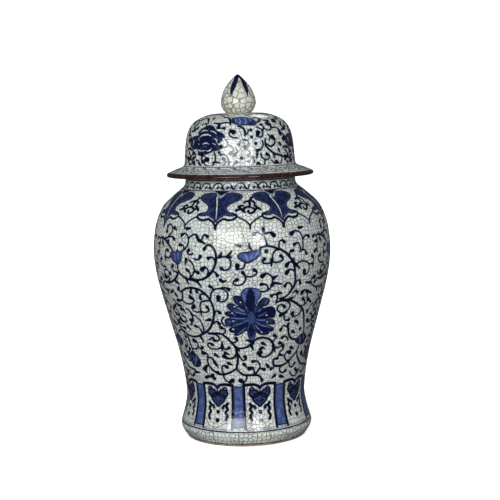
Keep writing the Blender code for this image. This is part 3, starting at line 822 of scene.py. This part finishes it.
class Nodes:
    """Short ways to add shader nodes to one material."""

    def __init__(self, name):
        self.material = bpy.data.materials.new(name)
        self.material.use_nodes = True
        self.tree = self.material.node_tree
        self.shader = self.tree.nodes["Principled BSDF"]
        self.place = self.new("ShaderNodeTexCoord").outputs["Object"]

    def new(self, kind, **settings):
        node = self.tree.nodes.new(kind)
        for key, value in settings.items():
            setattr(node, key, value)
        return node

    def join(self, value, socket):
        if isinstance(value, bpy.types.NodeSocket):
            self.tree.links.new(value, socket)
        elif isinstance(value, tuple):
            socket.default_value = (*value, 1.0) if len(socket.default_value) == 4 else value
        else:
            socket.default_value = value

    def attribute(self, name):
        return self.new("ShaderNodeAttribute", attribute_name=name).outputs["Fac"]

    def math(self, operation, a, b=0.0, clamp=False):
        node = self.new("ShaderNodeMath", operation=operation, use_clamp=clamp)
        self.join(a, node.inputs[0])
        self.join(b, node.inputs[1])
        return node.outputs[0]

    def step(self, value, low, high, to_low=0.0, to_high=1.0):
        """Rises smoothly from to_low to to_high as the value goes from low to high."""
        node = self.new("ShaderNodeMapRange", interpolation_type="SMOOTHSTEP")
        for socket, number in zip(node.inputs[:5], (value, low, high, to_low, to_high)):
            self.join(number, socket)
        return node.outputs[0]

    def noise(self, scale, detail=2.0, rough=0.5, at=None, colour=False):
        node = self.new("ShaderNodeTexNoise")
        self.join(at or self.place, node.inputs["Vector"])
        node.inputs["Scale"].default_value = scale
        node.inputs["Detail"].default_value = detail
        node.inputs["Roughness"].default_value = rough
        return node.outputs["Color" if colour else "Fac"]

    def wander(self, scale, detail, amount, rough=0.5):
        """Noise about zero."""
        return self.math("MULTIPLY", self.math("SUBTRACT", self.noise(scale, detail, rough), 0.5), amount)

    def cells(self, scale, feature, at, space="3D", random=1.0):
        node = self.new("ShaderNodeTexVoronoi", feature=feature, voronoi_dimensions=space)
        node.inputs["Randomness"].default_value = random
        self.join(at, node.inputs["Vector"])
        node.inputs["Scale"].default_value = scale
        return node

    def mix(self, share, a, b, blend="MIX"):
        node = self.new("ShaderNodeMix", data_type="RGBA", blend_type=blend)
        self.join(share, node.inputs[0])
        self.join(a, node.inputs[6])
        self.join(b, node.inputs[7])
        return node.outputs[2]

    def warped(self, scale, amount):
        """The object's coordinates, pushed about by noise."""
        push = self.new("ShaderNodeVectorMath", operation="MULTIPLY_ADD")
        self.join(self.noise(scale, 2.0, colour=True), push.inputs[0])
        push.inputs[1].default_value = (amount,) * 3
        self.join(self.place, push.inputs[2])
        return push.outputs[0]

    def bump(self, height, distance, strength):
        node = self.new("ShaderNodeBump")
        node.inputs["Distance"].default_value = distance
        node.inputs["Strength"].default_value = strength
        self.join(height, node.inputs["Height"])
        self.tree.links.new(node.outputs["Normal"], self.shader.inputs["Normal"])


GROUND_COOL = (0.660, 0.715, 0.700)
GROUND_WARM = (0.760, 0.780, 0.730)
GROUND_YELLOW = (0.740, 0.795, 0.590)
GROUND_CREAM = (0.655, 0.660, 0.555)
GROUND_LILAC = (0.735, 0.740, 0.860)
GROUND_GREY = (0.530, 0.570, 0.570)
CRACK = (0.055, 0.062, 0.050)
BLUE_PALE = (0.185, 0.250, 0.520)
BLUE_MID = (0.042, 0.072, 0.215)
BLUE_DARK = (0.0018, 0.0050, 0.0360)
INK_EDGE = (0.004, 0.009, 0.046)
INK_CORE = (0.0008, 0.0022, 0.0110)
IRON_DARK = (0.022, 0.010, 0.008)
IRON_LIGHT = (0.064, 0.023, 0.017)
CLAY_PALE = (0.560, 0.490, 0.390)
CLAY_TAN = (0.330, 0.215, 0.140)


def glaze():
    n = Nodes("crackle_glaze_over_cobalt")
    wobble = n.wander(420, 3.0, 0.75)
    ink = n.math("ADD", n.attribute("ink"), wobble)
    wash = n.math("ADD", n.attribute("wash"), wobble)
    clouds = n.wander(170, 4.0, 0.95, 0.7)
    tone = n.math("ADD", n.attribute("tone"), clouds, clamp=True)

    # The pale glaze, with a crackle net of nearly square cells that differ a little in colour.
    axes = n.new("ShaderNodeSeparateXYZ")
    n.join(n.place, axes.inputs[0])
    turn = n.math("ARCTAN2", axes.outputs[0], n.math("MULTIPLY", axes.outputs[1], -1.0))
    flat = n.new("ShaderNodeCombineXYZ")
    n.join(n.math("MULTIPLY", turn, n.attribute("net_across")), flat.inputs[0])
    n.join(n.attribute("net_down"), flat.inputs[1])
    wave = n.new("ShaderNodeVectorMath", operation="MULTIPLY_ADD")
    n.join(n.noise(120, 3.0, colour=True), wave.inputs[0])
    wave.inputs[1].default_value = (1.1, 1.1, 0.0)
    n.join(flat.outputs[0], wave.inputs[2])
    wall_net = n.cells(1.0, "DISTANCE_TO_EDGE", wave.outputs[0], "2D", 0.62).outputs["Distance"]
    wide_net = n.cells(0.19, "DISTANCE_TO_EDGE", wave.outputs[0], "2D", 0.9).outputs["Distance"]
    top_net = n.cells(205, "DISTANCE_TO_EDGE", n.warped(70, 0.004)).outputs["Distance"]
    cell = n.new("ShaderNodeSeparateColor")
    n.join(n.cells(1.0, "F1", wave.outputs[0], "2D", 0.62).outputs["Color"], cell.inputs[0])
    ground = n.mix(n.step(n.noise(16, 3.0), 0.35, 0.65), GROUND_COOL, GROUND_WARM)
    ground = n.mix(n.step(cell.outputs[0], 0.60, 0.95, 0.0, 0.70), ground, GROUND_YELLOW)
    ground = n.mix(n.step(cell.outputs[1], 0.70, 0.95, 0.0, 0.60), ground, GROUND_LILAC)
    ground = n.mix(n.step(cell.outputs[2], 0.2, 1.0, 0.0, 0.30), ground, GROUND_GREY)
    # Only the bud has so few cells round it, and its glaze is creamier.
    creamy = n.step(n.attribute("net_across"), 3.0, 6.0, 0.8, 0.0)
    ground = n.mix(creamy, ground, GROUND_CREAM)
    level = n.attribute("net_level")
    wall_line = n.math("SUBTRACT", 1.0, n.step(wall_net, 0.03, 0.140))
    top_line = n.math("SUBTRACT", 1.0, n.step(top_net, 0.02, 0.10))
    fine_line = n.math("ADD", n.math("MULTIPLY", wall_line, n.math("SUBTRACT", 1.0, level)),
                       n.math("MULTIPLY", top_line, level))
    fine_line = n.math("MULTIPLY", fine_line, n.step(n.noise(45), 0.3, 0.62, 0.65, 1.0))
    wide_line = n.math("SUBTRACT", 1.0, n.step(wide_net, 0.006, 0.024))
    seam = n.step(n.math("SUBTRACT", math.pi, n.math("ABSOLUTE", turn)), 0.001, 0.005, 1.0, 0.0)
    line = n.math("MAXIMUM", n.math("MAXIMUM", fine_line, wide_line), seam)

    # Cobalt: thin fills that pool at their edges, then strokes with a bleeding halo and a near-black core.
    fill = n.mix(n.step(tone, 0.0, 0.5), BLUE_PALE, BLUE_MID)
    fill = n.mix(n.step(tone, 0.45, 0.95), fill, BLUE_DARK)
    pooled = n.math("MULTIPLY", n.step(wash, -0.2, 0.3), n.step(wash, 1.0, 2.6, 0.92, 0.0))
    fill = n.mix(pooled, fill, BLUE_DARK)
    colour = n.mix(n.step(wash, -0.45, 0.45), ground, fill)
    colour = n.mix(n.step(ink, -1.4, 0.0, 0.0, 0.30), colour, BLUE_PALE)
    stroke = n.mix(n.step(ink, -0.1, 0.75), INK_EDGE, INK_CORE)
    colour = n.mix(n.step(ink, -0.45, 0.25), colour, stroke)
    shown = n.math("MULTIPLY", line, n.step(ink, -0.6, 0.3, 0.86, 0.0))
    shown = n.math("MULTIPLY", shown, n.step(wash, -0.6, 0.3, 1.0, 0.10))
    colour = n.mix(shown, colour, CRACK)
    pin = n.cells(330, "F1", n.place).outputs["Distance"]
    colour = n.mix(n.step(pin, 0.05, 0.10, 0.5, 0.0), colour, CRACK)

    # Iron-brown edges and the bare clay of the foot.
    rust = n.mix(n.step(n.noise(170, 4.0, 0.65), 0.38, 0.68), IRON_DARK, IRON_LIGHT)
    edge = n.math("ADD", n.attribute("iron"), n.wander(130, 3.0, 2.2))
    rusty = n.math("MAXIMUM", n.step(edge, -0.5, 0.6, 0.0, 0.90), n.step(edge, 0.8, 2.0))
    colour = n.mix(rusty, colour, rust)
    clay = n.mix(n.step(n.noise(90, 5.0, 0.7), 0.35, 0.65), CLAY_PALE, CLAY_TAN)
    raw = n.math("ADD", n.attribute("bare"), n.wander(160, 3.0, 2.4))
    raw = n.step(raw, -0.3, 0.5)
    colour = n.mix(raw, colour, clay)
    n.join(colour, n.shader.inputs["Base Color"])

    worn = n.step(n.noise(55, 4.0, 0.6), 0.35, 0.75, 0.035, 0.075)
    gloss = n.math("ADD", worn, n.math("MULTIPLY", raw, 0.62))
    n.join(n.math("ADD", gloss, n.math("MULTIPLY", line, 0.10)), n.shader.inputs["Roughness"])
    n.shader.inputs["IOR"].default_value = 1.5
    grain = n.math("MULTIPLY", n.math("MULTIPLY", n.noise(900, 3.0, 0.7), raw), 0.8)
    ripple = n.math("MULTIPLY", n.noise(60, 3.0, 0.55), 0.16)
    height = n.math("ADD", n.math("ADD", grain, ripple), n.math("MULTIPLY", line, -0.16))
    n.bump(height, 0.0005, 0.45)
    return n.material


def bare_clay():
    n = Nodes("bare_stoneware_clay")
    clay = n.mix(n.step(n.noise(80, 5.0, 0.7), 0.35, 0.65), CLAY_PALE, CLAY_TAN)
    speck = n.cells(520, "F1", n.place).outputs["Distance"]
    clay = n.mix(n.step(speck, 0.10, 0.22, 0.7, 0.0), clay, IRON_DARK)
    rings = n.new("ShaderNodeTexWave", wave_type="BANDS", bands_direction="Z")
    n.join(n.place, rings.inputs["Vector"])
    rings.inputs["Scale"].default_value = 160
    rings.inputs["Distortion"].default_value = 1.5
    clay = n.mix(n.math("MULTIPLY", rings.outputs["Fac"], 0.14), clay, CLAY_TAN)
    n.join(clay, n.shader.inputs["Base Color"])
    n.join(n.step(n.noise(200, 3.0), 0.3, 0.7, 0.62, 0.85), n.shader.inputs["Roughness"])
    height = n.math("ADD", n.math("MULTIPLY", rings.outputs["Fac"], 0.5), n.noise(900, 3.0, 0.7))
    n.bump(height, 0.0004, 0.6)
    return n.material


def build_jar(surface):
    wall = even_rows(smooth_curve(WALL_CURVE, 24), 0.25)
    wall_s = lengths(wall)
    inner = inset(smooth_curve(WALL_CURVE, 8), WALL)
    plan = plan_belly()

    def s_at(z):
        return float(np.interp(-z, -wall[:, 1], wall_s))

    def wall_part(piece, high, low):
        curve = even_rows(between(wall, high, low), ROW_STEP)
        return piece.painted(curve, s_at(high) - s_at(WALL_ZERO_Z))

    upper = Piece("jar_skin_upper")
    chart = wall_part(upper, SHOULDER_Z, SEAM_Z)
    paint_belly(chart, plan)
    paint_shoulder(chart)
    upper.plain(between(inner, INSIDE_TOP_Z, SEAM_Z)[::-1])
    upper.plain(SHOULDER_INSIDE)

    lower = Piece("jar_skin_lower")
    paint_belly(wall_part(lower, SEAM_Z, FOOT_BAND_Z), plan)
    lower.plain(between(inner, SEAM_Z, FOOT_BAND_Z)[::-1])

    foot = Piece("jar_foot_band", girth=80.0, cell=5.4)
    foot.plain(FOOT_FLOOR)
    foot.plain(between(inner, FOOT_BAND_Z, INSIDE_FOOT_Z)[::-1])
    chart = wall_part(foot, FOOT_BAND_Z, 0.0)
    paint_belly(chart, plan)
    paint_foot(chart)
    paint_foot_rim(chart, np.array(foot.rows[-len(chart.s):])[:, 1])
    under = foot.painted(np.array(FOOT_UNDERSIDE), 400.0)
    under.bare[:] = 5.0

    neck = Piece("jar_neck_glazed", girth=69.0)
    curve = even_rows(smooth_curve(NECK_CURVE, 12), 0.8)
    start = float(np.interp(-NECK_ZERO_Z, -curve[:, 1], lengths(curve)))
    chart = neck.painted(curve, -NECK_LEAD - start)
    paint_neck(chart)
    paint_shoulder(chart)
    chart.iron[:] = np.clip(curve[:, 1] - 335.4, NO_PAINT, 0.6)[:, None]
    neck.plain(NECK_INSIDE)

    return [(upper.build(surface), "jar_upper_section"), (lower.build(surface), "jar_lower_section"),
            (foot.build(surface, closed=False), "jar_lower_section"), (neck.build(surface), "jar_neck_ring")]


def build_lid(surface, clay):
    dome = Piece("lid_dome_glazed", girth=62.0)
    paint_dome(dome.painted(even_rows(smooth_curve(DOME_CURVE, 24), 0.9), 0.0))
    inner = inset(smooth_curve(DOME_CURVE, 8), DOME_WALL)
    inner = inner[inner[:, 1] > DOME_INSIDE_Z]
    dome.plain([DOME_EDGE_INSIDE, *inner[::-1], *DOME_VENT])

    brim = Piece("lid_brim_glazed", girth=80.0)
    paint_brim(brim.painted(even_rows(smooth_curve(BRIM_CURVE, 12), 0.8), 0.0))
    brim.plain(BRIM_INSIDE)

    bud = Piece("lid_bud", girth=20.0, columns=240, cell=7.0)
    paint_finial(bud.painted(even_rows(smooth_curve(BUD_CURVE, 24), 0.6), 0.0))
    bud.plain(BUD_INSIDE)

    collar = Piece("lid_collar_bare", girth=59.0, columns=240)
    collar.plain(COLLAR)

    return [(dome.build(surface), "lid_dome"), (brim.build(surface), "lid_brim"),
            (bud.build(surface, closed=False), "lid_finial"), (collar.build(clay), "lid_locating_collar")]


# Studio: a white bowl for floor and backdrop that only the camera sees, a lamp for the bowl alone, and
# soft boxes for the jar. A lamp's numbers are azimuth and elevation in degrees, distance, width and
# height in metres, and watts. Azimuth 0 is the front.
PAPER_ROWS = [(0.0, -0.2), (1.0, -0.2), (3000.0, -0.2), (3900.0, 110.0), (4500.0, 600.0), (4800.0, 1500.0),
              (4900.0, 3200.0)]
PAPER_NEAR, PAPER_NEAR_M = 0.57, 0.35
PAPER_FAR, PAPER_FAR_M = 1.0, 1.6
MIRRORED_LAMPS = {"key": (-18.0, 13.5, 2.3, 1.36, 0.66, 26.0), "side": (20.5, 11.0, 2.3, 0.62, 0.55, 12.0),
                  "back": (172.0, 40.0, 2.4, 0.6, 0.5, 3.0)}
FILL_LAMPS = {"fill": (-4.0, 24.0, 2.6, 2.6, 1.6, 28.0), "behind_right": (146.0, 26.0, 2.6, 1.8, 1.4, 24.0),
              "behind_left": (214.0, 26.0, 2.6, 1.8, 1.4, 24.0)}
PAPER_LAMP = (-30.0, 78.0, 2.2, 1.1, 1.1, 27.5)
LAMPS_AIM = (0.0, 0.0, 0.26)
CAMERA_AT = (0.0, -1.590, 0.420)
CAMERA_AIM = (0.010, 0.0, 0.235)
CAMERA_LENS = 90.6
CAMERA_ROLL = -1.45


def studio():
    bowl = Piece("studio_bowl", columns=96)
    bowl.plain(PAPER_ROWS)
    n = Nodes("white_paper")
    n.shader.inputs["Base Color"].default_value = (0.93, 0.93, 0.92, 1.0)
    n.shader.inputs["Roughness"].default_value = 0.9
    n.shader.inputs["Emission Color"].default_value = (1.0, 1.0, 1.0, 1.0)
    reach = n.new("ShaderNodeVectorMath", operation="LENGTH")
    n.join(n.place, reach.inputs[0])
    glow = n.step(reach.outputs["Value"], PAPER_NEAR_M, PAPER_FAR_M, PAPER_NEAR, PAPER_FAR)
    n.join(glow, n.shader.inputs["Emission Strength"])
    floor = bowl.build(n.material, closed=False)
    floor.visible_glossy = False
    floor.visible_diffuse = False
    only_floor = bpy.data.collections.new("paper")
    only_floor.objects.link(floor)
    soft_box("paper", PAPER_LAMP, mirrored=False).light_linking.receiver_collection = only_floor
    for name, placed in MIRRORED_LAMPS.items():
        soft_box(name, placed)
    for name, placed in FILL_LAMPS.items():
        soft_box(name, placed, mirrored=False)
    world = bpy.data.worlds.new("studio")
    bpy.context.scene.world = world
    world.use_nodes = True
    back = world.node_tree.nodes["Background"]
    back.inputs["Color"].default_value = (0.90, 0.95, 1.0, 1.0)
    back.inputs["Strength"].default_value = 0.07


def soft_box(name, placed, mirrored=True):
    azimuth, elevation, distance, wide, tall, watts = placed
    lamp = bpy.data.lights.new(name, "AREA")
    lamp.shape = "RECTANGLE"
    lamp.size = wide
    lamp.size_y = tall
    lamp.energy = watts
    obj = bpy.data.objects.new(name, lamp)
    bpy.context.scene.collection.objects.link(obj)
    a, e = math.radians(azimuth), math.radians(elevation)
    away = Vector((math.sin(a) * math.cos(e), -math.cos(a) * math.cos(e), math.sin(e)))
    obj.location = Vector(LAMPS_AIM) + away * distance
    obj.rotation_mode = "QUATERNION"
    obj.rotation_quaternion = (-away).to_track_quat("-Z", "Y")
    obj.visible_camera = False
    obj.visible_glossy = mirrored
    return obj


def camera():
    data = bpy.data.cameras.new("camera")
    data.lens = CAMERA_LENS
    data.sensor_width = 36.0
    obj = bpy.data.objects.new("camera", data)
    bpy.context.scene.collection.objects.link(obj)
    obj.location = CAMERA_AT
    towards = Vector(CAMERA_AIM) - Vector(CAMERA_AT)
    obj.rotation_mode = "QUATERNION"
    turn = Quaternion((0.0, 0.0, 1.0), math.radians(CAMERA_ROLL))
    obj.rotation_quaternion = towards.to_track_quat("-Z", "Y") @ turn
    bpy.context.scene.camera = obj


def main():
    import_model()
    glazed, clay = glaze(), bare_clay()
    for obj, node in build_jar(glazed):
        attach(obj, "jar")
        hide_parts(node)
    for obj, node in build_lid(glazed, clay):
        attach(obj, "lid_collar" if node == "lid_locating_collar" else "lid")
        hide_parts(node)
    studio()
    camera()
    bpy.context.scene.view_settings.view_transform = "Standard"


main()
